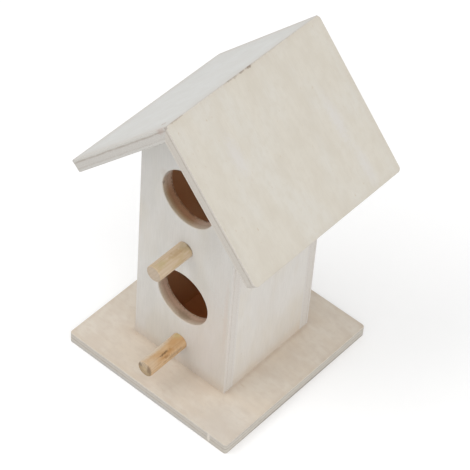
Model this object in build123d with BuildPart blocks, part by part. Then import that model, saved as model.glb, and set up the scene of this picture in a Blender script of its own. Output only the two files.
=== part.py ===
from build123d import *
import os
from math import cos, radians, sin, tan

# A small nest box of plywood: a house-shaped body on a square base, under a
# roof of two boards. X runs to the right, the front faces -Y, Z is up, and the
# origin is the middle of the underside of the base.

# Driving dimensions, in millimetres and degrees
board = 6.0
base_width = 95.0
base_depth = 97.0
base_corner = 1.5
body_width = 54.0
body_depth = 58.5
body_front_y = -27.0
roof_pitch = 47.0
roof_length = 76.5
roof_depth = 95.0
roof_front_y = -43.5
roof_corner = 2.0
ridge_height = 165.0
entrance_diameter = 29.0
upper_entrance_height = 111.0
lower_entrance_height = 49.5
entrance_rim = 0.3
perch_diameter = 8.0
perch_clearance = 0.0
upper_perch_height = 80.5
upper_perch_reach = 20.0
lower_perch_height = 20.5
lower_perch_reach = 23.0
perch_end_round = 0.5
arris = 0.4

# Places that follow from them
half_body = body_width / 2
inner_half = half_body - board
front_inner_y = body_front_y + board
back_inner_y = body_front_y + body_depth - board
roof_middle_y = roof_front_y + roof_depth / 2
pitch_sin = sin(radians(roof_pitch))
pitch_cos = cos(radians(roof_pitch))
pitch_rise = tan(radians(roof_pitch))
gable_peak = ridge_height - board / pitch_cos
wall_top = gable_peak - half_body * pitch_rise
wall_inner_top = gable_peak - inner_half * pitch_rise
bore_diameter = perch_diameter + perch_clearance

# Upright planes that face the front, where the walls and perches start
front_plane = Plane.XZ.offset(-body_front_y)
front_inner_plane = Plane.XZ.offset(-front_inner_y)
back_inner_plane = Plane.XZ.offset(-back_inner_y)

# The house shape that the front and back walls are both cut to
with BuildSketch() as gable:
    with BuildLine():
        Polyline(
            (-half_body, board),
            (half_body, board),
            (half_body, wall_top),
            (0, gable_peak),
            (-half_body, wall_top),
            close=True,
        )
    make_face()

os.makedirs("parts", exist_ok=True)

# The base plate lies flat, its four corners rounded and its arrises sanded
with BuildPart() as base_plate:
    with BuildSketch(Plane.XY):
        RectangleRounded(base_width, base_depth, base_corner)
    extrude(amount=board)
    fillet(base_plate.faces().filter_by(Axis.Z).edges(), radius=arris)
base_plate.part.label = "base_plate"

# The front wall has both entrances and both perch bores cut through its gable shape
with BuildPart() as front_wall:
    with BuildSketch(front_plane):
        add(gable.sketch_local)
        with Locations((0, upper_entrance_height), (0, lower_entrance_height)):
            Circle(entrance_diameter / 2, mode=Mode.SUBTRACT)
        with Locations((0, upper_perch_height), (0, lower_perch_height)):
            Circle(bore_diameter / 2, mode=Mode.SUBTRACT)
    extrude(amount=-board)
    front_face = front_wall.faces().sort_by(Axis.Y)[0]
    entrance_rims = front_face.edges().filter_by(GeomType.CIRCLE).sort_by(SortBy.RADIUS)[-2:]
    chamfer(entrance_rims, length=entrance_rim)
    front_face = front_wall.faces().sort_by(Axis.Y)[0]
    fillet(front_face.edges().filter_by(Axis.Z), radius=arris)
front_wall.part.label = "front_wall"

# The back wall is the same gable, plain, with its sanded arrises at the back
with BuildPart() as back_wall:
    with BuildSketch(back_inner_plane):
        add(gable.sketch_local)
    extrude(amount=-board)
    back_face = back_wall.faces().sort_by(Axis.Y)[-1]
    fillet(back_face.edges().filter_by(Axis.Z), radius=arris)
back_wall.part.label = "back_wall"

# The side walls stand between the gables, their top ends bevelled to the roof's pitch
with BuildPart() as right_wall:
    with BuildSketch(front_inner_plane):
        with BuildLine():
            Polyline(
                (inner_half, board),
                (half_body, board),
                (half_body, wall_top),
                (inner_half, wall_inner_top),
                close=True,
            )
        make_face()
    extrude(amount=front_inner_y - back_inner_y)
right_wall.part.label = "right_wall"

with BuildPart() as left_wall:
    mirror(right_wall.part, about=Plane.YZ)
left_wall.part.label = "left_wall"

# Each roof board lies on its slope with four rounded corners and sanded arrises, and its
# upper end is mitred on the middle plane, where it closes against the other board
right_slope = Plane(
    origin=(0, roof_middle_y, ridge_height),
    x_dir=(pitch_cos, 0, -pitch_sin),
    z_dir=(pitch_sin, 0, pitch_cos),
)
with BuildPart() as right_roof_panel:
    with BuildSketch(right_slope):
        with Locations((roof_length / 2, 0)):
            RectangleRounded(roof_length, roof_depth, roof_corner)
    extrude(amount=-board)
    fillet(right_roof_panel.faces().filter_by(right_slope).edges(), radius=arris)
    split(bisect_by=Plane.YZ, keep=Keep.TOP)
right_roof_panel.part.label = "right_roof_panel"

with BuildPart() as left_roof_panel:
    mirror(right_roof_panel.part, about=Plane.YZ)
left_roof_panel.part.label = "left_roof_panel"

# The perches are dowels driven through the front wall, flush with its inside
with BuildPart() as upper_perch:
    with BuildSketch(front_inner_plane):
        with Locations((0, upper_perch_height)):
            Circle(perch_diameter / 2)
    extrude(amount=board + upper_perch_reach)
    fillet(upper_perch.faces().sort_by(Axis.Y)[0].edges(), radius=perch_end_round)
upper_perch.part.label = "upper_perch"

with BuildPart() as lower_perch:
    with BuildSketch(front_inner_plane):
        with Locations((0, lower_perch_height)):
            Circle(perch_diameter / 2)
    extrude(amount=board + lower_perch_reach)
    fillet(lower_perch.faces().sort_by(Axis.Y)[0].edges(), radius=perch_end_round)
lower_perch.part.label = "lower_perch"

export_step(base_plate.part, "parts/base_plate.step")
export_step(front_wall.part, "parts/front_wall.step")
export_step(back_wall.part, "parts/back_wall.step")
export_step(left_wall.part, "parts/left_wall.step")
export_step(right_wall.part, "parts/right_wall.step")
export_step(left_roof_panel.part, "parts/left_roof_panel.step")
export_step(right_roof_panel.part, "parts/right_roof_panel.step")
export_step(upper_perch.part, "parts/upper_perch.step")
export_step(lower_perch.part, "parts/lower_perch.step")
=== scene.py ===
# %% [markdown]
# # A nest box of plywood, dressed in Blender
#
# The shapes of this nest box are already made: nine boards and dowels, each in
# its own node, at their real size. This file gives them their wood, puts them
# on a plain floor, lights them and sets up the camera. We first load the
# boards as a fixed frame. Nothing here moves or reshapes them, so every board
# stays where the carpenter glued it.

# %% Load the nest box
from math import cos, radians, sin

import bpy
from mathutils import Matrix, Vector


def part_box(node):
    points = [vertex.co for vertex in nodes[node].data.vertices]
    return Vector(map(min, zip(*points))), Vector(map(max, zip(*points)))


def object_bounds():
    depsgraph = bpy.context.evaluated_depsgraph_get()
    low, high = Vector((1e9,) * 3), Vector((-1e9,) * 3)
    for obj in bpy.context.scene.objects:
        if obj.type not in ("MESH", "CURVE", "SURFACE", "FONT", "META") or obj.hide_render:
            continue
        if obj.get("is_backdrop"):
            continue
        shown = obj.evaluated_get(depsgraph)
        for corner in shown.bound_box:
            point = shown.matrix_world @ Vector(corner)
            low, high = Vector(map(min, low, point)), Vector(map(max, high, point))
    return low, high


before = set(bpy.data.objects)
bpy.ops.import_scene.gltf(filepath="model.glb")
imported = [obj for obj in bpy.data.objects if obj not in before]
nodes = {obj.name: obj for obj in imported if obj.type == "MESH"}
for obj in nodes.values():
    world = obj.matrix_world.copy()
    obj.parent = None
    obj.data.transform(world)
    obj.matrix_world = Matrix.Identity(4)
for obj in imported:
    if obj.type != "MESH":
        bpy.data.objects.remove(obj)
cad_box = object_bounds()
print("boards and dowels:", ", ".join(sorted(nodes)))
print("box in metres:", [round(v, 4) for v in cad_box[1] - cad_box[0]])

# %% [markdown]
# ## Measures that the wood needs
#
# Wood grain is small, so we think about it in millimetres, while Blender
# counts in metres. The thickness of the boards, the places of the walls and
# the axes of the dowels are all read from the frame. If a board changes there,
# its grain and its glue lines follow.

# %% Read the sizes from the boards
MM_PER_M = 1000.0


def box_mm(node):
    """The lowest and the highest corner of one board, in millimetres."""
    low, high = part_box(node)
    return low * MM_PER_M, high * MM_PER_M


base_low, base_high = box_mm("base_plate")
front_low, front_high = box_mm("front_wall")
back_low, back_high = box_mm("back_wall")
board_mm = base_high.z - base_low.z
print(f"board {board_mm:.2f} mm thick")

# %% [markdown]
# The pitch of the roof isn't written down here either. The broad faces of a
# board are its largest ones, so we add up the area of the faces that look the
# same way, and take the direction with the most area on the side we ask for.
# The distance of that face from the origin tells where its outside is.

# %% Find the outer face of a board
ON_THAT_SIDE = 0.3


def outer_face(node, towards):
    """The direction of the board's largest face on that side, and its distance in mm."""
    areas = {}
    for polygon in nodes[node].data.polygons:
        if polygon.normal.dot(Vector(towards)) > ON_THAT_SIDE:
            key = tuple(round(v, 3) for v in polygon.normal)
            areas[key] = areas.get(key, 0) + polygon.area
    normal = Vector(max(areas, key=areas.get)).normalized()
    distance = max(v.co.dot(normal) for v in nodes[node].data.vertices) * MM_PER_M
    return normal, distance


roof_normal, roof_distance = outer_face("right_roof_panel", (1, 0, 1))
print("the right roof board faces", [round(v, 3) for v in roof_normal])
print(f"its outside is {roof_distance:.1f} mm from the origin")

# %% [markdown]
# ## Colours as a painter writes them
#
# Colours are picked as sRGB hex values, the way a paint chart or an image
# program shows them. Cycles reckons with light, in which twice the number is
# twice the light, so one function turns a hex value into linear light.


# %% Turn a hex colour into linear light
def linear(hex_colour):
    """An sRGB hex colour as linear red, green, blue and an alpha of 1."""
    channels = [int(hex_colour[i : i + 2], 16) / 255 for i in (1, 3, 5)]
    light = [c / 12.92 if c <= 0.04045 else ((c + 0.055) / 1.055) ** 2.4 for c in channels]
    return (*light, 1.0)


print("pale basswood is", [round(v, 3) for v in linear("#D8CFC0")])

# %% [markdown]
# ## One helper for every node
#
# A material is a small network of nodes. Adding one always takes the same
# three steps: create it, set its options, and set or connect its inputs. This
# helper does all three for any kind of node, so the recipes below read like a
# list of ingredients. An input is given by its name, or by its number where
# two inputs share a name, as the colours of a Mix node do.

# %% Add a node with its settings and links
MIX_FACTOR, MIX_A, MIX_B, MIX_COLOUR = 0, 6, 7, 2


def add_node(tree, kind, inputs=None, **options):
    """Adds one node to the tree, with its options set and its inputs set or connected."""
    node = tree.nodes.new(kind)
    for option, value in options.items():
        setattr(node, option, value)
    for socket, value in (inputs or {}).items():
        if isinstance(value, bpy.types.NodeSocket):
            tree.links.new(value, node.inputs[socket])
        else:
            node.inputs[socket].default_value = value
    return node


def new_material(name):
    """An empty material, its node tree, and the shader that the recipe fills in."""
    material = bpy.data.materials.new(name)
    material.use_nodes = True
    tree = material.node_tree
    tree.nodes.clear()
    shader = add_node(tree, "ShaderNodeBsdfPrincipled")
    add_node(tree, "ShaderNodeOutputMaterial", {"Surface": shader.outputs["BSDF"]})
    return material, tree, shader


# %% [markdown]
# ## Directions inside a board
#
# A rotary-cut veneer has a direction: its fibres run along the board. To draw
# it we want coordinates that belong to the board and not to the room: along
# the grain, across the grain, and down into the thickness, all in millimetres.
# Three perpendicular directions, written as the rows of a matrix, turn a
# place in the room into such coordinates. The third one starts at 0 on the
# outer face, so it also tells which ply a point of the sawn edge belongs to.
# In the material one Mapping node does the same sum, because its rotation can
# hold that matrix.


# %% Coordinates along the grain, across it and into the wood
def grain_axes(inward, grain):
    """The directions along the grain, across it and inward, as the rows of a matrix."""
    inward = Vector(inward).normalized()
    along = (Vector(grain) - Vector(grain).dot(inward) * inward).normalized()
    return Matrix((along, inward.cross(along), inward))


def grain_coordinates(tree, axes, distance):
    """Adds the coordinates in mm, and returns the object's place node and their socket."""
    place = add_node(tree, "ShaderNodeTexCoord")
    mapped = add_node(
        tree,
        "ShaderNodeMapping",
        {
            "Vector": place.outputs["Object"],
            "Location": (0, 0, distance),
            "Rotation": axes.to_euler(),
            "Scale": (MM_PER_M,) * 3,
        },
    )
    return place, mapped.outputs["Vector"]


roof_axes = grain_axes(-roof_normal, (1, 0, -1))
print("the roof's grain runs along", [round(v, 3) for v in roof_axes[0]])

# %% [markdown]
# ## Patterns that wood is made of
#
# Everything on this wood comes from three simple patterns. The first is noise
# that is stretched along the grain: wide it is growth figure, narrow it is
# fibre. The second picks out part of such a noise as streaks. The values of
# noise lie round 0.5, so a window such as 0.42 to 0.68 takes the higher ones.
# Through it the streaks rise softly from 0, where there are none, up to the
# most that we allow. A shift moves the noise along, so that two patterns of
# the same kind don't fall on each other.


# %% Stretched noise, and streaks of it
def stretched_noise(tree, coordinates, along, across, detail=2.0, shift=0.0):
    """Noise whose grains are so many millimetres long and wide."""
    scaled = add_node(
        tree,
        "ShaderNodeMapping",
        {
            "Vector": coordinates,
            "Location": (shift, shift, shift),
            "Scale": (1 / along, 1 / across, 1 / across),
        },
    )
    noise = add_node(
        tree,
        "ShaderNodeTexNoise",
        {"Vector": scaled.outputs["Vector"], "Scale": 1.0, "Detail": detail},
    )
    return noise.outputs["Fac"]


def streaks(tree, coordinates, size, window, most, shift):
    """0 to most: the parts of a stretched noise that lie between the window's two values."""
    noise = stretched_noise(tree, coordinates, *size, detail=3.0, shift=shift)
    picked = add_node(
        tree,
        "ShaderNodeMapRange",
        {"Value": noise, "From Min": window[0], "From Max": window[1], "To Max": most},
        interpolation_type="SMOOTHSTEP",
    )
    return picked.outputs[0]


# %% [markdown]
# Colours are laid over each other like thin coats of glaze. Each coat has a
# share, which says where and how strongly it covers, and a tint. One helper
# lays any number of coats over a ground.


# %% Lay coats of colour over a ground
def glaze(tree, ground, coats):
    """Lays coats of (share, tint) over the ground colour in turn."""
    for share, tint in coats:
        coat = add_node(
            tree,
            "ShaderNodeMix",
            {
                MIX_FACTOR: share,
                MIX_A: ground,
                MIX_B: linear(tint) if isinstance(tint, str) else tint,
            },
            data_type="RGBA",
        )
        ground = coat.outputs[MIX_COLOUR]
    return ground


# %% [markdown]
# Fibres and saw fuzz are too fine for a coat of their own. They only make the
# colour under them a little darker and lighter, so we multiply that colour by
# a number near 1. Most values of a noise lie from 0.3 to 0.7, and these two
# become the darkest and the lightest shade.

# %% Shade a colour with a fine noise
NOISE_LOW, NOISE_HIGH = 0.3, 0.7


def shaded(tree, colour, noise, darkest, lightest):
    """The colour, made darker and lighter by the noise."""
    shade = add_node(
        tree,
        "ShaderNodeMapRange",
        {
            "Value": noise,
            "From Min": NOISE_LOW,
            "From Max": NOISE_HIGH,
            "To Min": darkest,
            "To Max": lightest,
        },
    )
    scaled = add_node(
        tree, "ShaderNodeVectorMath", {0: colour, "Scale": shade.outputs[0]}, operation="SCALE"
    )
    return scaled.outputs["Vector"]


# %% [markdown]
# The third pattern is a mark: an oval at one place, such as a knot or a chip.
# It could be painted on the mesh, but then it would be only as fine as the
# mesh. Here the distance from its middle is measured instead, with the half
# sizes of the oval as the unit, so it is 1 on the outline. A little noise on
# top of that distance makes the outline ragged, and the mark fades out over
# its soft outer share.

# %% Marks with a ragged outline
RAG_MM = 1.1
RAG_WINDOW = (0.25, 0.75)


def raggedness(tree, coordinates):
    """Noise around zero that makes the outline of a mark uneven."""
    centred = add_node(
        tree,
        "ShaderNodeMapRange",
        {
            "Value": stretched_noise(tree, coordinates, RAG_MM, RAG_MM, detail=3.0),
            "From Min": RAG_WINDOW[0],
            "From Max": RAG_WINDOW[1],
            "To Min": -1.0,
            "To Max": 1.0,
        },
    )
    return centred.outputs[0]


def mark(tree, coordinates, rag, centre, size, most, soft, ragged):
    """0 to most: an oval at that centre that fades out over its soft outer share."""
    oval = add_node(
        tree,
        "ShaderNodeMapping",
        {
            "Vector": coordinates,
            "Location": [-c / s for c, s in zip(centre, size)],
            "Scale": [1 / s for s in size],
        },
    )
    reach = add_node(
        tree, "ShaderNodeVectorMath", {0: oval.outputs["Vector"]}, operation="LENGTH"
    )
    uneven = add_node(
        tree,
        "ShaderNodeMath",
        {0: rag, 1: ragged, 2: reach.outputs["Value"]},
        operation="MULTIPLY_ADD",
    )
    inside = add_node(
        tree,
        "ShaderNodeMapRange",
        {
            "Value": uneven.outputs[0],
            "From Min": 1.0 - soft,
            "From Max": 1.0,
            "To Min": most,
            "To Max": 0.0,
        },
        interpolation_type="SMOOTHSTEP",
    )
    return inside.outputs[0]


# %% [markdown]
# A list of marks is easiest to write with places in the room, where we can
# measure them. One matrix turns each place into the wood's own coordinates.
#
# A mark is a tint, how strong it is, how softly it ends, how ragged it is, its
# place in the room in millimetres, and its half sizes along the grain, across
# the grain and into the wood.


# %% Lay a list of marks over a colour
def lay_marks(tree, coordinates, ground, marks, axes, distance=0.0):
    """Lays each of the marks over the ground colour."""
    if not marks:
        return ground
    rag = raggedness(tree, coordinates)
    coats = []
    for tint, most, soft, ragged, spot, size in marks:
        centre = axes @ Vector(spot) + Vector((0, 0, distance))
        coats.append((mark(tree, coordinates, rag, centre, size, most, soft, ragged), tint))
    return glaze(tree, ground, coats)


# %% [markdown]
# ## Basswood plywood, sanded and left bare
#
# The boards are 6 mm basswood plywood: a core between two outer plies that
# run crosswise to it. Basswood is the palest and quietest of craft woods. To
# the eye its face is a creamy white with soft, wide growth figure, fine short
# fibres, broad patches that are a little warmer or cooler, and a few brown
# flecks. It is only sanded, so it has no gloss. The walls have a straight
# figure with fibres that show. The roof and the base are of calmer sheets,
# which look mottled instead: short figure, small blotches and fibres that
# hardly show.
#
# The figure could be painted on an image, but it would stretch over the
# edges. Noise that is drawn in the board's own millimetres runs through the
# whole board, like real wood, and costs no image. The sizes are those of real
# wood, but for the fibres: they are 0.05 mm wide and drawn at 0.6 mm, because
# nothing finer shows at this distance.

# %% Sizes of the grain, in millimetres along it and across it
STRAIGHT = {"figure_mm": (30.0, 7.0), "fibres": 0.033, "mottle": 0.0}
MOTTLED = {"figure_mm": (15.0, 9.0), "fibres": 0.016, "mottle": 0.5}
MOTTLE_MM = (3.2, 2.4)
PATCH_MM = (34.0, 15.0)
CLOUD_MM = (9.0, 6.0)
SPECK_MM = (2.6, 1.4)
FIBRE_MM = (9.0, 0.6)
FUZZ_MM = (0.7, 0.5)
print(f"figure of the walls {STRAIGHT['figure_mm']} mm, their fibres {FIBRE_MM} mm")

# %% [markdown]
# The sawn edges tell the story of the plies. Where an edge runs along the
# grain of a ply, that ply looks smooth and light, and where it cuts across
# the grain, it shows darker end grain. The core crosses the two outer plies,
# so the order swaps between the two kinds of edges of a board. Between the
# plies lie thin brown glue lines, and the one under the outer ply shows most.
#
# One colour ramp over the depth holds both facts. Its red channel is 1 in the
# plies that cross, and its green channel is high on the glue lines. Separate
# Color takes them apart again. A real glue line is too thin to show, so it is
# drawn as a soft band that reaches a tenth of the thickness to either side.
#
# A ply is its share of the thickness, 1 if it crosses the face's grain, and
# the strength of the glue line on its outer side.

# %% The plies over the thickness
THREE_PLY = ((0.25, 0, 0.0), (0.50, 1, 1.0), (0.25, 0, 0.4))
FOUR_PLY = ((0.17, 0, 0.0), (0.32, 1, 0.6), (0.34, 1, 1.0), (0.17, 0, 0.6))
GLUE_SHARE = 0.1


def ply_ramp(tree, depth_share, layers):
    """The crossing plies and the glue lines, for a depth from 0 outside to 1 inside."""
    ramp = add_node(tree, "ShaderNodeValToRGB", {"Fac": depth_share})
    stops = ramp.color_ramp.elements
    stops[0].color, stops[1].color = (0, 0, 0, 1), (0, 0, 0, 1)
    start, above, _ = layers[0]
    for thickness, crosses, glue in layers[1:]:
        stops.new(start - GLUE_SHARE).color = (above, 0, 0, 1)
        stops.new(start).color = ((above + crosses) / 2, glue, 0, 1)
        stops.new(start + GLUE_SHARE).color = (crosses, 0, 0, 1)
        start, above = start + thickness, crosses
    channels = add_node(tree, "ShaderNodeSeparateColor", {"Color": ramp.outputs["Color"]})
    return channels.outputs["Red"], channels.outputs["Green"]


for plywood in (THREE_PLY, FOUR_PLY):
    print("ply thicknesses in mm:", [round(ply[0] * board_mm, 2) for ply in plywood])

# %% [markdown]
# Real plies waver, so a slow noise bends the depth a little before the ramp
# reads it. A second one lets the glue lines come and go. Which plies show
# their end grain depends on the edge: one that looks along the face's grain
# cuts the outer plies across, and there the order is swapped.

# %% The plies on a sawn edge
WAVER_MM = 0.15
WAVER_LENGTH_MM = 7.0
GLUE_GAP_MM = 3.0
GLUE_WINDOW, GLUE_LEAST = (0.35, 0.6), 0.5


def plies(tree, place, coordinates, axes, layers):
    """Two shares over the edge: where the end grain shows, and where the glue lines are."""
    offset = add_node(
        tree,
        "ShaderNodeMapRange",
        {
            "Value": stretched_noise(tree, coordinates, WAVER_LENGTH_MM, WAVER_LENGTH_MM),
            "From Min": NOISE_LOW,
            "From Max": NOISE_HIGH,
            "To Min": -WAVER_MM,
            "To Max": WAVER_MM,
        },
    )
    depth = add_node(tree, "ShaderNodeSeparateXYZ", {"Vector": coordinates})
    wavering = add_node(
        tree,
        "ShaderNodeMath",
        {0: depth.outputs["Z"], 1: offset.outputs["Result"]},
        operation="ADD",
    )
    share = add_node(
        tree, "ShaderNodeMath", {0: wavering.outputs[0], 1: board_mm}, operation="DIVIDE"
    )
    crossing, glue = ply_ramp(tree, share.outputs[0], layers)

    lengthwise = add_node(
        tree,
        "ShaderNodeVectorMath",
        {0: place.outputs["Normal"], 1: axes[0]},
        operation="DOT_PRODUCT",
    )
    cut_across = add_node(
        tree, "ShaderNodeMath", {0: lengthwise.outputs["Value"]}, operation="ABSOLUTE"
    )
    swapped = add_node(
        tree, "ShaderNodeMath", {0: crossing, 1: cut_across.outputs[0]}, operation="SUBTRACT"
    )
    end_grain = add_node(
        tree, "ShaderNodeMath", {0: swapped.outputs[0]}, operation="ABSOLUTE"
    )
    gaps = add_node(
        tree,
        "ShaderNodeMapRange",
        {
            "Value": stretched_noise(tree, coordinates, GLUE_GAP_MM, GLUE_GAP_MM),
            "From Min": GLUE_WINDOW[0],
            "From Max": GLUE_WINDOW[1],
            "To Min": GLUE_LEAST,
        },
    )
    glue_lines = add_node(
        tree, "ShaderNodeMath", {0: glue, 1: gaps.outputs["Result"]}, operation="MULTIPLY"
    )
    return end_grain.outputs[0], glue_lines.outputs[0]


# %% [markdown]
# ## Bands along the outline, and painted shade where boards meet
#
# The wood isn't the same colour all over. The arrises were sanded by hand. A
# narrow, warmer band follows the outline of some boards, and where boards
# meet, the shade in the corner is painted in as a darker foot. Both are found
# by measuring: how far is this point from the outline of the board, or from
# the walls that stand on it?


# %% A band along the outline of a board
def outline_band(tree, coordinates, low, high, width, most):
    """0 to most: strongest on the outline between low and high, gone at width inside it."""
    axes_of_face = add_node(tree, "ShaderNodeSeparateXYZ", {"Vector": coordinates})
    shares = []
    for axis, start, end in zip(("X", "Y"), low, high):
        centred = add_node(
            tree,
            "ShaderNodeMath",
            {0: axes_of_face.outputs[axis], 1: (start + end) / 2},
            operation="SUBTRACT",
        )
        away = add_node(
            tree, "ShaderNodeMath", {0: centred.outputs[0]}, operation="ABSOLUTE"
        )
        near = add_node(
            tree,
            "ShaderNodeMapRange",
            {
                "Value": away.outputs[0],
                "From Min": (end - start) / 2 - width,
                "From Max": (end - start) / 2,
                "To Max": most,
            },
            interpolation_type="SMOOTHSTEP",
        )
        shares.append(near.outputs[0])
    band = add_node(
        tree, "ShaderNodeMath", {0: shares[0], 1: shares[1]}, operation="MAXIMUM"
    )
    return band.outputs[0]


# %% [markdown]
# The same kind of measuring finds the walls' footprint. The place in the room
# is moved to the middle of the house and made positive, so one corner stands
# for all four. How far a point lies beyond the half width and the half depth
# is its distance from the walls, and a negative distance is inside them.

# %% The distance from the walls, seen from above
house_middle = (front_low + back_high) / 2
house_half = (back_high - front_low) / 2
nest_half = house_half - Vector((board_mm, board_mm, 0))
print(f"the nest is {2 * nest_half.x:.1f} by {2 * nest_half.y:.1f} mm")


def beyond_walls(tree, place, half):
    """The distance in mm beyond a rectangle of that half size round the middle of the house."""
    moved = add_node(
        tree,
        "ShaderNodeVectorMath",
        {
            0: place.outputs["Object"],
            1: (MM_PER_M, MM_PER_M, 0),
            2: (-house_middle.x, -house_middle.y, 0),
        },
        operation="MULTIPLY_ADD",
    )
    corner = add_node(
        tree, "ShaderNodeVectorMath", {0: moved.outputs["Vector"]}, operation="ABSOLUTE"
    )
    over = add_node(
        tree,
        "ShaderNodeVectorMath",
        {0: corner.outputs["Vector"], 1: (half.x, half.y, 0)},
        operation="SUBTRACT",
    )
    sides = add_node(tree, "ShaderNodeSeparateXYZ", {"Vector": over.outputs["Vector"]})
    furthest = add_node(
        tree,
        "ShaderNodeMath",
        {0: sides.outputs["X"], 1: sides.outputs["Y"]},
        operation="MAXIMUM",
    )
    return furthest.outputs[0]


# %% [markdown]
# The nest side of a board is painted a deeper tan, which stands for the shade
# and the warm light bounced round inside the closed nest, and it is painted a
# little paler towards the top, as painted light. It is the part within the
# inner faces of the walls, on the inner half of the board's thickness. The
# base is the exception: the nest stands on its upper face, which gets the
# deepest painted tan of all.

# %% The nest side of a board
# painted shade and warm bounce light inside the nest, paler higher up
NEST_SHADE_TANS = ("#E1B385", "#E9BF96")
NEST_FLOOR_SHADE = "#E1A46E"
PALER_FROM_MM, PALER_TO_MM = 30.0, 65.0
NEST_MARGIN_MM = 0.2


def height_mm(tree, place):
    """The height above the ground, in millimetres."""
    height = add_node(
        tree,
        "ShaderNodeVectorMath",
        {0: place.outputs["Object"], 1: (0, 0, MM_PER_M)},
        operation="DOT_PRODUCT",
    )
    return height.outputs["Value"]


def painted_nest_shade(tree, place):
    """The painted shade and warm bounce light of the nest side, paler from the foot to the top.
    """
    higher = add_node(
        tree,
        "ShaderNodeMapRange",
        {
            "Value": height_mm(tree, place),
            "From Min": PALER_FROM_MM,
            "From Max": PALER_TO_MM,
        },
    )
    return glaze(tree, linear(NEST_SHADE_TANS[0]), [(higher.outputs[0], NEST_SHADE_TANS[1])])


def nest_side(tree, place, coordinates, node):
    """1 where the board looks into the nest, and 0 elsewhere."""
    between_walls = add_node(
        tree,
        "ShaderNodeMath",
        {0: beyond_walls(tree, place, nest_half), 1: NEST_MARGIN_MM},
        operation="LESS_THAN",
    )
    depth = add_node(tree, "ShaderNodeSeparateXYZ", {"Vector": coordinates})
    inner_half = add_node(
        tree,
        "ShaderNodeMath",
        {0: depth.outputs["Z"], 1: board_mm / 2},
        operation="LESS_THAN" if node == "base_plate" else "GREATER_THAN",
    )
    both = add_node(
        tree,
        "ShaderNodeMath",
        {0: between_walls.outputs[0], 1: inner_half.outputs[0]},
        operation="MULTIPLY",
    )
    return both.outputs[0]


# %% [markdown]
# The painted shade at the foot goes by height on the walls, and by the
# distance from the walls on the base. Right in the corner it is strongest, and
# a faint painted warmth, for the warm light that bare wood throws on its
# neighbour, reaches further out.
# High under the roof the walls are made paler, as painted light.
#
# Each reach goes from a near to a far place, in millimetres. Its tint is
# strongest at the near one and gone at the far one.

# %% Painted shade and light on the walls and the base
WALL_FOOT = base_high.z
# painted shade where the base meets the walls, and painted warm bounce light a little further out
BASE_PAINTED_SHADE_AND_WARMTH = ((0.3, 2.6, 0.15, "#7A6048"), (1.0, 9.0, 0.08, "#C09A6E"))
WALL_PAINTED_SHADE_AND_LIGHT = (
    # painted shade at the foot of the walls, then painted warm bounce light above it
    (WALL_FOOT + 0.5, WALL_FOOT + 9.0, 0.18, "#BC9568"),
    (WALL_FOOT + 6.0, WALL_FOOT + 45.0, 0.05, "#C9A67C"),
    # painted light: the walls are paler high under the roof
    (WALL_FOOT + 112.0, WALL_FOOT + 90.0, 0.35, "#E4E3E0"),
)


def painted_shade_and_light_coats(tree, place, node):
    """Coats of painted shade and light: shade and warmth where the walls meet the base, and light
    high under the roof.
    """
    if node == "base_plate":
        distance, reaches = beyond_walls(tree, place, house_half), BASE_PAINTED_SHADE_AND_WARMTH
    elif node.endswith("wall"):
        distance, reaches = height_mm(tree, place), WALL_PAINTED_SHADE_AND_LIGHT
    else:
        return []
    coats = []
    for near, far, most, tint in reaches:
        share = add_node(
            tree,
            "ShaderNodeMapRange",
            {"Value": distance, "From Min": near, "From Max": far, "To Min": most, "To Max": 0.0},
            interpolation_type="SMOOTHSTEP",
        )
        coats.append((share.outputs[0], tint))
    return coats


print(f"the walls stand {WALL_FOOT:.1f} mm above the table")

# %% [markdown]
# ## The bored entrances
#
# A flat bit has cut the two entrances and rubbed their walls. Where it only
# cut, the wall is a pale tan. Where it rubbed, the heat has scorched it brown,
# more so further in. The lower entrance is about a third scorched all round
# and more at its left. The upper one has one brown patch at its lower left.
# The glue line in the middle of the board is a darker ring.
#
# Both looks of the wall are colour ramps over the depth, and the scorched
# patches are marks, like those of a knot, with the darker ramp as their tint.
#
# A scorched patch is how strong it is, how softly it ends, its place in the
# room, and its half size in every direction, in millimetres.

# %% The walls of the entrances
BORE_DEPTHS = (0.8, 2.0, 3.1, 3.8, 5.2)
PALE_BORE = ("#CFC0AE", "#CCB8A6", "#BFA996", "#CDB6A4", "#C8AE9A")
SCORCHED_BORE = ("#C3B49D", "#AF9172", "#A37B5D", "#AB8163", "#A88062")
SCORCH_RAG = 0.06
SCORCHES = (
    (0.33, 0.3, (0, front_low.y + 3, 49.5), 24.0),
    (0.30, 0.8, (-9.0, front_low.y + 7.5, 39.0), 10.0),
    (1.00, 0.55, (-7.5, front_low.y + 3, 99.5), 14.5),
)


def tints_by_depth(tree, share, tints):
    """A colour that goes through the tints from the outside of the board inward."""
    ramp = add_node(tree, "ShaderNodeValToRGB", {"Fac": share})
    stops = ramp.color_ramp.elements
    stops[0].position, stops[0].color = BORE_DEPTHS[0] / board_mm, linear(tints[0])
    stops[1].position, stops[1].color = BORE_DEPTHS[-1] / board_mm, linear(tints[-1])
    for depth, tint in zip(BORE_DEPTHS[1:-1], tints[1:-1]):
        stops.new(depth / board_mm).color = linear(tint)
    return ramp.outputs["Color"]


def bored_wall(tree, coordinates, depth, axes, distance):
    """The colour of the entrances' walls, pale with scorched patches."""
    share = add_node(tree, "ShaderNodeMath", {0: depth, 1: board_mm}, operation="DIVIDE")
    scorched = tints_by_depth(tree, share.outputs[0], SCORCHED_BORE)
    pale = tints_by_depth(tree, share.outputs[0], PALE_BORE)
    patches = [
        (scorched, most, soft, SCORCH_RAG, spot, (reach,) * 3)
        for most, soft, spot, reach in SCORCHES
    ]
    return lay_marks(tree, coordinates, pale, patches, axes, distance)


print("scorched patches:", len(SCORCHES))

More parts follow.
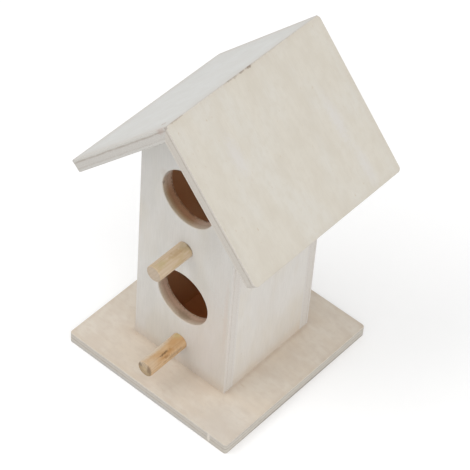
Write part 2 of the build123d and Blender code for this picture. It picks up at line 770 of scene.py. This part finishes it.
# %% [markdown]
# At the inner edge, where the bit came through, torn fibres leave dark
# notches: streaks that only show in the last millimetre of the depth. The
# entrances are the only open edges near the middle of the front wall, so
# every edge within their reach of the middle is dressed as a bored wall.

# %% The torn inner edge, and where the entrances are
ENTRANCE_REACH_MM = 15.5
TORN = "#5A3B28"
TORN_MM = (1.3, 0.8)
TORN_DEPTHS = (4.9, 5.7)
TORN_WINDOW, TORN_MOST, TORN_SHIFT = (0.46, 0.56), 0.7, 3.0


def entrance_coats(tree, coordinates, axes, distance):
    """The coats on the edges near the middle of the front wall."""
    parts = add_node(tree, "ShaderNodeSeparateXYZ", {"Vector": coordinates})
    wall = bored_wall(tree, coordinates, parts.outputs["Z"], axes, distance)
    inner_edge = add_node(
        tree,
        "ShaderNodeMapRange",
        {
            "Value": parts.outputs["Z"],
            "From Min": TORN_DEPTHS[0],
            "From Max": TORN_DEPTHS[1],
        },
    )
    torn = add_node(
        tree,
        "ShaderNodeMath",
        {
            0: inner_edge.outputs[0],
            1: streaks(tree, coordinates, TORN_MM, TORN_WINDOW, TORN_MOST, TORN_SHIFT),
        },
        operation="MULTIPLY",
    )
    wall = glaze(tree, wall, [(torn.outputs[0], TORN)])
    sideways = add_node(
        tree, "ShaderNodeMath", {0: parts.outputs["Y"]}, operation="ABSOLUTE"
    )
    at_entrance = add_node(
        tree,
        "ShaderNodeMath",
        {0: sideways.outputs[0], 1: ENTRANCE_REACH_MM},
        operation="LESS_THAN",
    )
    return [(at_entrance.outputs[0], wall)]


# %% [markdown]
# ## The whole board
#
# The face comes first. Its ground colour gets five layers of streaks, from
# broad patches down to flecks, then the warmer band along its outline, the
# painted shade and light at the foot and the top of the walls, and on the nest
# side the painted shade of the nest. The fibres are too fine for streaks, so
# they make the finished colour a little lighter and darker.

# %% The face of a board
FLECK = "#B79B78"
# the tint of the warmer band along the outline of some boards
WARM_OUTLINE_TINT = "#A68F73"


def board_face(tree, place, coordinates, node, board, axes, fibres, shift):
    """The colour of the board's faces."""
    ground, figure, patch = board["face"]
    # A layer: its grains in mm, the window of its noise, how strong it is, its shift, its tint
    layers = (
        (board["figure_mm"], (0.42, 0.68), 0.8, 0, figure),
        (PATCH_MM, (0.42, 0.66), 0.7, 7, patch),
        (CLOUD_MM, (0.45, 0.75), 0.5, 5, figure),
        (MOTTLE_MM, (0.45, 0.70), board["mottle"], 9, figure),
        (SPECK_MM, (0.66, 0.80), board["flecks"], 3, FLECK),
    )
    coats = [
        (streaks(tree, coordinates, size, window, most, shift + own), tint)
        for size, window, most, own, tint in layers
    ]
    corners = [axes @ (v.co * MM_PER_M) for v in nodes[node].data.vertices]
    low = [min(corner[i] for corner in corners) for i in (0, 1)]
    high = [max(corner[i] for corner in corners) for i in (0, 1)]
    for width, most in board["warm_outline"]:
        coats.append((outline_band(tree, coordinates, low, high, width, most), WARM_OUTLINE_TINT))
    coats += painted_shade_and_light_coats(tree, place, node)
    # the painted shade and warm bounce light of the nest side
    nest_shade_tan = NEST_FLOOR_SHADE if node == "base_plate" else painted_nest_shade(tree, place)
    coats.append((nest_side(tree, place, coordinates, node), nest_shade_tan))
    veneer = glaze(tree, linear(ground), coats)
    return shaded(tree, veneer, fibres, 1 - board["fibres"], 1 + board["fibres"])


# %% [markdown]
# The sawn edge starts from the side grain and gets the end grain, the glue
# lines and, on the front wall, the bored entrances. A saw leaves the wood
# fuzzy, so a fine noise makes the edge lighter and darker in tiny spots, and
# a little darker over all.

# %% The sawn edge of a board
FUZZ_SHADES = (0.9, 1.07)


def board_edge(tree, place, coordinates, node, board, axes, distance, shift):
    """The colour of the board's sawn edges."""
    side_grain, cut_grain, glue = board["edge"]
    end_grain, glue_lines = plies(tree, place, coordinates, axes, board["plies"])
    coats = [(end_grain, cut_grain), (glue_lines, glue)]
    if node == "front_wall":
        coats += entrance_coats(tree, coordinates, axes, distance)
    sawn = glaze(tree, linear(side_grain), coats)
    fuzz = stretched_noise(tree, coordinates, *FUZZ_MM, shift=shift)
    return shaded(tree, sawn, fuzz, *FUZZ_SHADES)


# %% [markdown]
# The face and the edge are told apart by the surface's own direction: where
# it looks along the thickness it is a face, and where it looks across it is a
# sawn edge. The sanded arris between them belongs partly to each.
#
# Bare wood scatters light as other dull, non-metal things do, so the index of
# refraction stays at its usual 1.5. Sanded basswood is rough, about 0.6 to
# 0.7, and a shade smoother on the hard fibres than between them. The fibres
# also stand up by less than a tenth of a millimetre, which a Bump node shows
# without any change to the board's shape.

# %% A recipe for one plywood board
FACE_FROM, FACE_TO = 0.55, 0.85
FIBRE_RELIEF = {"Strength": 0.35, "Distance": 0.1 / MM_PER_M}
SMOOTH_FIBRE, ROUGH_FIBRE = 0.58, 0.74


def basswood_plywood(node, board, shift):
    """Sanded basswood plywood for one board, with its plies on the sawn edges."""
    material, tree, shader = new_material(f"basswood_plywood_{node}")
    normal, distance = outer_face(node, board["towards"])
    axes = grain_axes(-normal, board["grain"])
    place, coordinates = grain_coordinates(tree, axes, distance)
    fibres = stretched_noise(tree, coordinates, *FIBRE_MM, detail=3.0, shift=shift)
    face = board_face(tree, place, coordinates, node, board, axes, fibres, shift)
    edge = board_edge(tree, place, coordinates, node, board, axes, distance, shift)

    facing = add_node(
        tree,
        "ShaderNodeVectorMath",
        {0: place.outputs["Normal"], 1: axes[2]},
        operation="DOT_PRODUCT",
    )
    turned = add_node(
        tree, "ShaderNodeMath", {0: facing.outputs["Value"]}, operation="ABSOLUTE"
    )
    is_face = add_node(
        tree,
        "ShaderNodeMapRange",
        {"Value": turned.outputs[0], "From Min": FACE_FROM, "From Max": FACE_TO},
        interpolation_type="SMOOTHSTEP",
    )
    surface = glaze(tree, edge, [(is_face.outputs[0], face)])
    colour = lay_marks(tree, coordinates, surface, MARKS.get(node), axes, distance)

    relief = add_node(tree, "ShaderNodeBump", {**FIBRE_RELIEF, "Height": fibres})
    dryness = add_node(
        tree,
        "ShaderNodeMapRange",
        {"Value": fibres, "To Min": SMOOTH_FIBRE, "To Max": ROUGH_FIBRE},
    )
    tree.links.new(colour, shader.inputs["Base Color"])
    tree.links.new(dryness.outputs[0], shader.inputs["Roughness"])
    tree.links.new(relief.outputs["Normal"], shader.inputs["Normal"])
    print(f"{material.name}: {len(tree.nodes)} nodes")
    return material


# %% [markdown]
# ## Knots, chips and gaps
#
# Most boards have a few marks of their own. At the ridge the face veneers have
# splintered where the mitres meet, which leaves dark, ragged chips and a fine
# seam. The left roof board has a small pin knot near the front of the ridge
# and a bruised front corner. The right one has three broad, greyish bands.
# The front wall's holes for the perches are a trifle wide, and the shade in
# that gap is painted in as a dark crescent on the upper side of each perch.
# Its upper entrance has a dent, and painted light makes the left of its rim
# paler. The lower one has an olive stain at the bottom. A few patches of the
# wall's face are warmer or greyer, and one darker patch under the right roof
# board is that board's painted shadow. The base has a small fresh nick in its
# front edge, and painted shade makes the lowest ply of its front edge cool and
# darker and that of its right edge darker, where they meet the table.
#
# Each row is one mark, in the order that lay_marks takes: its tint, strength,
# softness, raggedness, place and half sizes.

# %% The marks of each board
ridge = box_mm("right_roof_panel")[1].z
roof_front = box_mm("right_roof_panel")[0].y
eave = box_mm("left_roof_panel")[0]
CHIP, SEAM, BAND = "#6B5645", "#8A7763", "#D3D0CE"
ridge_marks = [
    (SEAM, 0.45, 0.6, 0.5, (0, roof_front + 5, ridge), (0.5, 6.5, 2.5)),
    (SEAM, 0.20, 0.8, 0.6, (0, 10, ridge), (0.5, 44.0, 2.5)),
    (CHIP, 0.45, 0.7, 0.4, (-0.4, roof_front, ridge - 0.8), (1.2, 1.0, 2.2)),
    (CHIP, 0.40, 0.8, 0.4, (0, -5.6, ridge), (0.7, 2.4, 1.6)),
    (CHIP, 0.30, 0.8, 0.5, (0.4, -2.0, ridge), (0.8, 1.5, 1.8)),
    (CHIP, 0.40, 0.8, 0.5, (0.2, 1.8, ridge), (0.7, 2.0, 1.6)),
    (CHIP, 0.65, 0.7, 0.4, (0, 6.4, ridge), (1.1, 2.0, 2.0)),
]
MARKS = {
    "left_roof_panel": ridge_marks
    + [
        ("#A58D7C", 0.60, 0.5, 0.2, (-6.3, -37.4, 158.2), (1.9, 1.4, 1.2)),
        ("#D6D2CC", 0.80, 0.5, 0.2, (-6.3, -37.4, 158.2), (0.8, 0.5, 1.2)),
        ("#A88F84", 0.45, 0.7, 0.3, (-2.8, roof_front, ridge - 4), (3.4, 1.2, 2.0)),
        ("#4F4840", 0.90, 0.6, 0.2, (eave.x + 0.3, roof_front, 109.4), (1.6, 1.7, 2.2)),
    ],
    "right_roof_panel": ridge_marks
    + [
        (BAND, 0.50, 0.9, 0.3, (18.8, -20.3, 144.8), (15.0, 5.0, 3.0)),
        (BAND, 0.50, 0.9, 0.3, (28.1, 33.5, 134.9), (17.0, 4.5, 3.0)),
        (BAND, 0.40, 0.9, 0.3, (44.8, 35.8, 117.0), (13.0, 4.0, 3.0)),
    ],
    "front_wall": [
        # the next two: painted shade in the gap round the upper and the lower perch
        ("#6E5640", 0.85, 0.15, 0.03, (0.32, front_low.y, 80.80), (4.25, 4.25, 1.0)),
        ("#7F6850", 0.55, 0.20, 0.03, (0.05, front_low.y, 20.65), (4.35, 4.35, 1.0)),
        ("#C8B3A2", 0.30, 0.8, 0.3, (24.9, front_low.y, 56.0), (30.0, 1.8, 1.0)),
        ("#CDBAAB", 0.32, 0.8, 0.2, (17.0, front_low.y, 36.0), (44.0, 24.0, 2.0)),
        ("#C4BCB4", 0.30, 0.8, 0.2, (22.0, front_low.y, 74.0), (22.0, 9.0, 2.0)),
        ("#85766A", 0.60, 0.6, 0.3, (-14.0, front_low.y + 0.6, 110.8), (1.7, 1.2, 1.2)),
        # painted light: the left of the upper entrance's rim made paler
        ("#CFC9C2", 0.90, 0.6, 0.2, (-13.1, front_low.y + 2.5, 117.1), (4.2, 4.0, 6.0)),
        # painted shadow of the right roof board on the front wall
        ("#BAB5AE", 0.35, 0.9, 0.2, (15.0, front_low.y, 98.0), (20.0, 10.0, 2.0)),
        ("#6F5D3F", 0.45, 0.8, 0.2, (-1.0, front_low.y + 2.7, 35.0), (3.5, 6.5, 3.2)),
    ],
    "base_plate": [
        ("#E0D8CD", 0.80, 0.4, 0.3, (37.3, base_low.y, 3.4), (0.9, 1.2, 3.4)),
        # the next two: painted shade along the bottom of the base's front and right edges, where
        # they meet the table
        ("#B2B4B7", 0.40, 0.5, 0.3, (-5.0, base_low.y, 1.0), (56.0, 3.0, 1.5)),
        ("#8A817A", 0.60, 0.5, 0.3, (base_high.x, 5.0, 0.8), (3.0, 56.0, 1.0)),
        ("#C3BBB2", 0.35, 0.8, 0.2, (40.0, -42.0, base_high.z), (22.0, 18.0, 2.0)),
    ],
}
print("marks:", sum(len(marks) for marks in MARKS.values()))

# %% [markdown]
# Each board gets colours of its own. The left roof board is a cool grey
# white, the right one a warm cream, the walls lie between, and the base is
# the most beige. So the recipe is used once for each board, with the
# direction of its outer face and of its grain, the colours of its face
# (ground, figure and patches) and of its edge (side grain, end grain and
# glue), its plies, how many flecks it has, and how wide and how strong the
# warmer band along its outline is. The base is another kind of plywood: its
# core is two plies that run the same way.

# %% The boards and their colours
UP, DOWN_RIGHT, DOWN_LEFT = (0, 0, 1), (1, 0, -1), (-1, 0, -1)
WALL = {
    "grain": UP,
    **STRAIGHT,
    "edge": ("#D2CDC7", "#D0CAC3", "#C6BDB3"),
    "plies": THREE_PLY,
    "warm_outline": (),
}
GABLE = {**WALL, "face": ("#D1CEC9", "#CBC8C2", "#CCC7BD"), "flecks": 0.3}
SIDE = {**WALL, "face": ("#D6D2CC", "#D2CDC6", "#D2CBBF"), "flecks": 0.25}
BOARDS = {
    "base_plate": {
        "towards": UP,
        "grain": (1, 0, 0),
        **MOTTLED,
        "face": ("#D8CFC2", "#CDC0B1", "#D3C6B5"),
        "edge": ("#C9C3B9", "#C3BCB2", "#A8A095"),
        "plies": FOUR_PLY,
        "flecks": 0.35,
        "warm_outline": ((3.0, 0.12),),
    },
    "front_wall": {"towards": (0, -1, 0), **GABLE},
    "back_wall": {"towards": (0, 1, 0), **GABLE},
    "left_wall": {"towards": (-1, 0, 0), **SIDE},
    "right_wall": {"towards": (1, 0, 0), **SIDE},
    "left_roof_panel": {
        "towards": (-1, 0, 1),
        "grain": DOWN_LEFT,
        **MOTTLED,
        "face": ("#D5D5D2", "#D0CFCB", "#D2D1CD"),
        "edge": ("#C5C2BC", "#C1BDB7", "#A39A90"),
        "plies": THREE_PLY,
        "flecks": 0.2,
        "warm_outline": ((4.5, 0.15), (14.0, 0.10)),
    },
    "right_roof_panel": {
        "towards": (1, 0, 1),
        "grain": DOWN_RIGHT,
        **MOTTLED,
        "face": ("#D1CBBF", "#CCC5B8", "#D2CEC5"),
        "edge": ("#C8C2B9", "#C3BDB4", "#AAA094"),
        "plies": THREE_PLY,
        "flecks": 0.45,
        "warm_outline": ((4.5, 0.08),),
    },
}
print("boards:", len(BOARDS))

# %% [markdown]
# All boards are cut from the same endless pattern, and each from another
# stretch of it, so that no two look alike. Any numbers would do for the
# stretches, as long as they stay the same from run to run.

# %% Lay the plywood on the boards
SHIFT_PER_BOARD = 11.0
FIRST_STRETCH = 5


def dress(node, material):
    """Gives the board or dowel this material and no other."""
    materials = nodes[node].data.materials
    materials.clear()
    materials.append(material)


for stretch, (node, board) in enumerate(BOARDS.items(), start=FIRST_STRETCH):
    dress(node, basswood_plywood(node, board, SHIFT_PER_BOARD * stretch))

# %% [markdown]
# ## Birch dowel
#
# The perches are birch dowels, turned between cutters and cut off with a
# fine saw. To the eye a dowel shows long, straight streaks on its side and
# the arcs of the growth rings on its end. Blotches of yellower wood lie over
# it. The saw leaves the end rough, so it takes up dirt and is greyer than the
# side. It is darkest near its rim, where that dirt and the shade of the
# rounded rim are both painted in.
#
# The lower perch is cut from a darker rod, with the brown dash of a small
# knot on its upper side. Each dowel below has the colours of its side (ground,
# streak and blotch) and of its end (light and dark), how strongly its rim is
# darkened by dirt and painted shade, how far to the side and above it the
# pith of the tree lay, and its marks.

# %% The two dowels
DOWELS = {
    "upper_perch": {
        "side": ("#CAB69C", "#B79875", "#BAA377"),
        "end": ("#BAA893", "#9A8A75"),
        "rim_dirt_and_shade": 0.3,
        "pith": (14.0, 9.0),
        "marks": [
            ("#A5875B", 0.50, 0.8, 0.3, (0.8, -34.0, 84.4), (6.0, 2.0, 1.5)),
            # painted shade on the upper perch where it enters the wall
            ("#5F4A33", 0.50, 0.7, 0.2, (1.8, -27.2, 84.0), (0.7, 2.4, 2.5)),
            ("#9C8F72", 0.45, 0.9, 0.2, (0.4, -28.5, 84.4), (4.0, 4.0, 3.0)),
            ("#B5A676", 0.55, 0.9, 0.2, (0.6, -43.0, 84.4), (4.5, 2.6, 3.0)),
        ],
    },
    "lower_perch": {
        "side": ("#CBAB84", "#9E7549", "#B88B54"),
        "end": ("#AC9473", "#72592F"),
        "rim_dirt_and_shade": 0.45,
        "pith": (-11.0, 15.0),
        "marks": [
            ("#D1C4B1", 0.85, 0.9, 0.2, (-2.6, -42.0, 23.6), (18.0, 2.8, 2.8)),
            ("#CDB99F", 0.55, 0.9, 0.2, (1.5, -48.0, 23.5), (8.0, 5.0, 5.0)),
            ("#B3A573", 0.60, 0.9, 0.2, (-0.9, -28.0, 24.4), (3.6, 3.0, 2.0)),
            ("#A9762F", 0.45, 0.8, 0.3, (2.9, -38.0, 23.4), (7.0, 1.6, 1.5)),
            ("#563B1A", 0.70, 0.8, 0.4, (1.9, -39.6, 24.1), (4.2, 0.75, 1.3)),
            ("#8A5A22", 0.55, 0.7, 0.3, (3.3, -39.6, 22.7), (2.2, 0.7, 1.2)),
            ("#83684A", 0.45, 0.8, 0.4, (3.8, -35.0, 21.4), (8.0, 1.2, 1.3)),
            ("#6B5F52", 0.65, 0.7, 0.2, (-2.8, -50.0, 21.8), (1.5, 1.5, 1.6)),
            ("#6E5230", 0.70, 0.7, 0.2, (2.4, -50.0, 21.5), (1.2, 1.7, 3.4)),
            ("#BFA67F", 0.60, 0.8, 0.2, (-0.2, -50.0, 20.3), (1.2, 1.6, 1.4)),
        ],
    },
}
print("marks on the dowels:", {node: len(rod["marks"]) for node, rod in DOWELS.items()})

# %% [markdown]
# One solid pattern gives both the streaks and the arcs: rings round a pith
# that lies well outside the dowel. Along the dowel the coordinates count for
# much less, which draws the rings out into long streaks. A wave texture turns
# through 20 radians in each unit, so at a scale of 1 its rings lie 0.314
# units apart. That number over the width of a growth ring is our scale.

# %% Growth rings through the whole dowel
RING_MM = 1.4
RING_PER_SCALE = 0.314
ALONG_DOWEL = 0.06
RING_WINDOW, RING_MOST = (0.4, 1.0), 0.2


def growth_rings(tree, coordinates, centre, pith_offset):
    """0 to RING_MOST: the dark part of the rings round a pith beside the dowel."""
    pith = add_node(
        tree,
        "ShaderNodeMapping",
        {
            "Vector": coordinates,
            "Location": (0, pith_offset[0] - centre.y, pith_offset[1] - centre.z),
            "Scale": (ALONG_DOWEL, 1, 1),
        },
    )
    rings = add_node(
        tree,
        "ShaderNodeTexWave",
        {
            "Vector": pith.outputs["Vector"],
            "Scale": RING_PER_SCALE / RING_MM,
            "Distortion": 4.0,
            "Detail": 2.0,
            "Detail Scale": 0.6,
        },
        wave_type="RINGS",
        rings_direction="X",
    )
    dark = add_node(
        tree,
        "ShaderNodeMapRange",
        {
            "Value": rings.outputs["Fac"],
            "From Min": RING_WINDOW[0],
            "From Max": RING_WINDOW[1],
            "To Max": RING_MOST,
        },
    )
    return dark.outputs[0]


print(f"growth rings {RING_MM} mm wide")

# %% [markdown]
# The end is darkest near its rim, so there we need the distance from the
# dowel's axis. Its coordinates across the grain, measured from the middle,
# have that as their length.

# %% The rim of a dowel's end, darkened by dirt and painted shade
# the share of the end's radius that the rim's dirt and painted shade leave plain
PLAIN_MIDDLE_SHARE = 0.62


def dirty_shaded_rim(tree, coordinates, centre, half_dowel, most):
    """0 to most: from the plain middle of the end out to its rim, which dirt and painted shade
    darken.
    """
    radial = add_node(
        tree,
        "ShaderNodeVectorMath",
        {0: coordinates, 1: (0, 1, 1), 2: (0, -centre.y, -centre.z)},
        operation="MULTIPLY_ADD",
    )
    radius = add_node(
        tree, "ShaderNodeVectorMath", {0: radial.outputs["Vector"]}, operation="LENGTH"
    )
    rim = add_node(
        tree,
        "ShaderNodeMapRange",
        {
            "Value": radius.outputs["Value"],
            "From Min": PLAIN_MIDDLE_SHARE * half_dowel,
            "From Max": half_dowel,
            "To Max": most,
        },
        interpolation_type="SMOOTHSTEP",
    )
    return rim.outputs[0]


print(f"the middle {PLAIN_MIDDLE_SHARE:.0%} of a dowel's end stays clean")

# %% [markdown]
# The recipe lays the rings, blotches and streaks over the side, and the
# rings, saw fuzz and the rim's dirt and painted shade over the end. The
# surface's direction tells which of the two it is. Turned birch is smoother
# than sanded plywood, with a roughness of 0.55, and its streaks give it a
# slight relief.

# %% A recipe for a dowel
STREAK_MM = (18.0, 0.8)
BLOTCH_MM = (7.0, 3.0)
END_FROM, END_TO = 0.5, 0.95
STREAK_RELIEF = {"Strength": 0.4, "Distance": 0.1 / MM_PER_M}
TURNED_ROUGHNESS = 0.55


def birch_dowel(node, rod):
    """A bare birch dowel with its grain along Y."""
    material, tree, shader = new_material(f"birch_dowel_{node}")
    low, high = box_mm(node)
    shift = (low.z + high.z) / 2
    axes = grain_axes((0, 0, -1), (0, 1, 0))
    place, coordinates = grain_coordinates(tree, axes, 0.0)
    centre = axes @ ((low + high) / 2)
    light, streak, blotch = rod["side"]
    end_light, end_dark = rod["end"]
    rings = growth_rings(tree, coordinates, centre, rod["pith"])
    side_coats = [
        (rings, streak),
        (streaks(tree, coordinates, BLOTCH_MM, (0.45, 0.70), 0.6, shift), blotch),
        (streaks(tree, coordinates, STREAK_MM, (0.48, 0.75), 0.6, shift), streak),
    ]
    end_coats = [
        (rings, end_dark),
        (streaks(tree, coordinates, FUZZ_MM, (0.45, 0.75), 0.35, shift), end_dark),
        # the rim, darkened by dirt and by painted shade
        (dirty_shaded_rim(tree, coordinates, centre, (high.x - low.x) / 2, rod["rim_dirt_and_shade"]), end_dark),
    ]
    side = glaze(tree, linear(light), side_coats)
    end = glaze(tree, linear(end_light), end_coats)
    facing = add_node(
        tree,
        "ShaderNodeVectorMath",
        {0: place.outputs["Normal"], 1: -axes[0]},
        operation="DOT_PRODUCT",
    )
    is_end = add_node(
        tree,
        "ShaderNodeMapRange",
        {"Value": facing.outputs["Value"], "From Min": END_FROM, "From Max": END_TO},
    )
    whole = glaze(tree, side, [(is_end.outputs[0], end)])
    colour = lay_marks(tree, coordinates, whole, rod["marks"], axes)

    grain = stretched_noise(tree, coordinates, *STREAK_MM, detail=3.0, shift=shift)
    relief = add_node(tree, "ShaderNodeBump", {**STREAK_RELIEF, "Height": grain})
    tree.links.new(colour, shader.inputs["Base Color"])
    tree.links.new(relief.outputs["Normal"], shader.inputs["Normal"])
    shader.inputs["Roughness"].default_value = TURNED_ROUGHNESS
    print(f"{material.name}: {len(tree.nodes)} nodes")
    return material


for node, rod in DOWELS.items():
    dress(node, birch_dowel(node, rod))

# %% [markdown]
# ## A pale floor
#
# The nest box stands on a white sweep of matt paper, as in a product studio.
# The paper has to look white and still keep the soft shadow of the box. More
# light would burn out the pale wood, so the light stays plain and the paper
# alone gets a little help: it glows faintly, but only for the rays that come
# from the camera. Matt paper has hardly any gloss and a tooth of about 0.1 mm,
# which is drawn at about 1 mm, because nothing finer shows at this distance.

# %% White paper
PAPER_GLOW = 0.2
TOOTH_PER_MM = 0.9
PAPER_SHADES = (0.85, 0.87)
PAPER_ROUGHNESS, PAPER_SHEEN = 0.9, 0.1


def white_paper():
    """Matt white paper that the camera sees as white."""
    material, tree, shader = new_material("white_paper_matt")
    paper = add_node(tree, "ShaderNodeTexCoord")
    tooth = add_node(
        tree,
        "ShaderNodeTexNoise",
        {"Vector": paper.outputs["Object"], "Scale": TOOTH_PER_MM * MM_PER_M, "Detail": 2.0},
    )
    shade = add_node(
        tree,
        "ShaderNodeMapRange",
        {"Value": tooth.outputs["Fac"], "To Min": PAPER_SHADES[0], "To Max": PAPER_SHADES[1]},
    )
    ray = add_node(tree, "ShaderNodeLightPath")
    glow = add_node(
        tree,
        "ShaderNodeMath",
        {0: ray.outputs["Is Camera Ray"], 1: PAPER_GLOW},
        operation="MULTIPLY",
    )
    tree.links.new(shade.outputs[0], shader.inputs["Base Color"])
    tree.links.new(glow.outputs[0], shader.inputs["Emission Strength"])
    shader.inputs["Emission Color"].default_value = (1, 1, 1, 1)
    shader.inputs["Roughness"].default_value = PAPER_ROUGHNESS
    shader.inputs["Specular IOR Level"].default_value = PAPER_SHEEN
    print(f"{material.name}: {TOOTH_PER_MM} grains of tooth in a millimetre")
    return material


# %% [markdown]
# The sheet itself is one square face, large enough to fill the picture from
# any side. It is declared as stage, so it never counts as part of the box.

# %% Lay the floor
FLOOR_SIZE = 6.0

half = FLOOR_SIZE / 2
corners = [(-half, -half, 0), (half, -half, 0), (half, half, 0), (-half, half, 0)]
sheet = bpy.data.meshes.new("paper_floor")
sheet.from_pydata(corners, [], [(0, 1, 2, 3)])
floor = bpy.data.objects.new("paper_floor", sheet)
bpy.context.scene.collection.objects.link(floor)
sheet.materials.append(white_paper())
floor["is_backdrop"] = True
print(f"floor {FLOOR_SIZE} m square")

# %% [markdown]
# ## Light
#
# Product pictures of small crafts are taken in a light tent: light comes from
# everywhere, and a few softboxes outside the tent give the forms a little
# shape. The world is the tent. It lights the box with less than full
# strength, because the softboxes add the rest, yet it looks white to the
# camera and in anything that shines. Light Path tells which ray is asking.

# %% The tent
TENT_STRENGTH = 0.67

world = bpy.data.worlds.new("light_tent")
world.use_nodes = True
bpy.context.scene.world = world
sky = world.node_tree
sky.nodes.clear()
ray = add_node(sky, "ShaderNodeLightPath")
seen = add_node(
    sky,
    "ShaderNodeMath",
    {0: ray.outputs["Is Camera Ray"], 1: ray.outputs["Is Glossy Ray"]},
    operation="MAXIMUM",
)
seen_too = add_node(
    sky,
    "ShaderNodeMath",
    {0: seen.outputs[0], 1: ray.outputs["Is Transmission Ray"]},
    operation="MAXIMUM",
)
strength = add_node(
    sky,
    "ShaderNodeMapRange",
    {"Value": seen_too.outputs[0], "To Min": TENT_STRENGTH, "To Max": 1.0},
)
tent = add_node(
    sky, "ShaderNodeBackground", {"Color": (1, 1, 1, 1), "Strength": strength.outputs[0]}
)
add_node(sky, "ShaderNodeOutputWorld", {"Surface": tent.outputs["Background"]})
print("tent", TENT_STRENGTH)

# %% [markdown]
# Three softboxes stand on a circle round the box. The strongest is high at
# the front left and keeps the left roof board bright. The second is high at
# the front right, and the third is low on the right and reaches under the
# eave, so that the side wall is as bright as the front. Each is given by its
# direction round the box and its height above the table, both in degrees, and
# its strength in watts. An area light shines along its own -Z, so its Z axis
# is turned away from the box.

# %% The softboxes
SOFTBOX_SIZE = 1.0
SOFTBOX_DISTANCE = 1.5
SOFTBOXES = {
    "softbox_front_left": (-45, 50, 6.9),
    "softbox_front_right": (45, 50, 4.2),
    "softbox_right": (90, 20, 3.9),
}


def outward(azimuth, elevation):
    """The direction away from the box: azimuth 0 is the front, and 90 the right."""
    a, e = radians(azimuth), radians(elevation)
    return Vector((cos(e) * sin(a), -cos(e) * cos(a), sin(e)))


for name, (azimuth, elevation, watts) in SOFTBOXES.items():
    softbox = bpy.data.lights.new(name, "AREA")
    softbox.energy = watts
    softbox.size = SOFTBOX_SIZE
    lamp = bpy.data.objects.new(name, softbox)
    bpy.context.scene.collection.objects.link(lamp)
    direction = outward(azimuth, elevation)
    lamp.location = SOFTBOX_DISTANCE * direction + Vector((0, 0, base_high.z / MM_PER_M))
    lamp.rotation_euler = direction.to_track_quat("Z", "Y").to_euler()
    print(name, watts, "W")

# %% [markdown]
# ## Camera
#
# The camera looks down on the box from the front right. Its place was found
# by matching the edges of the boards with those in the photograph. It was
# held a few degrees askew, so the camera also rolls. We build its axes from
# the three angles: one to its right, one up its own picture, and one back
# towards the photographer. As the columns of a matrix, they turn the camera.

# %% Set up the camera
PHOTO_PX = 470
FOCAL_PX = 2287.6
SENSOR_MM = 36.0
AZIMUTH, ELEVATION, ROLL = 37.9016, 46.7794, 4.6624
DISTANCE = 0.99543
AIM = Vector((0.005285, -0.000081, 0.072889))

back = outward(AZIMUTH, ELEVATION)
level_right = outward(AZIMUTH + 90, 0)
level_up = back.cross(level_right)
right = cos(radians(ROLL)) * level_right + sin(radians(ROLL)) * level_up
up = cos(radians(ROLL)) * level_up - sin(radians(ROLL)) * level_right

lens = bpy.data.cameras.new("camera")
lens.sensor_width = SENSOR_MM
lens.lens = SENSOR_MM * FOCAL_PX / PHOTO_PX
camera = bpy.data.objects.new("camera", lens)
bpy.context.scene.collection.objects.link(camera)
turn = Matrix((right, up, back)).transposed().to_4x4()
camera.matrix_world = Matrix.Translation(AIM + DISTANCE * back) @ turn
bpy.context.scene.camera = camera
print(f"lens {lens.lens:.1f} mm, {DISTANCE:.3f} m from the box")

# %% [markdown]
# ## Finish
#
# The Standard view shows colours as they were written. Last we note the box
# before and after dressing, to prove that nothing grew.

# %% Check the size and finish
bpy.context.scene.view_settings.view_transform = "Standard"
dressed_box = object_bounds()
growth = max((dressed_box[1] - cad_box[1]).length, (dressed_box[0] - cad_box[0]).length)
print(f"the box grew by {growth * MM_PER_M:.3f} mm")
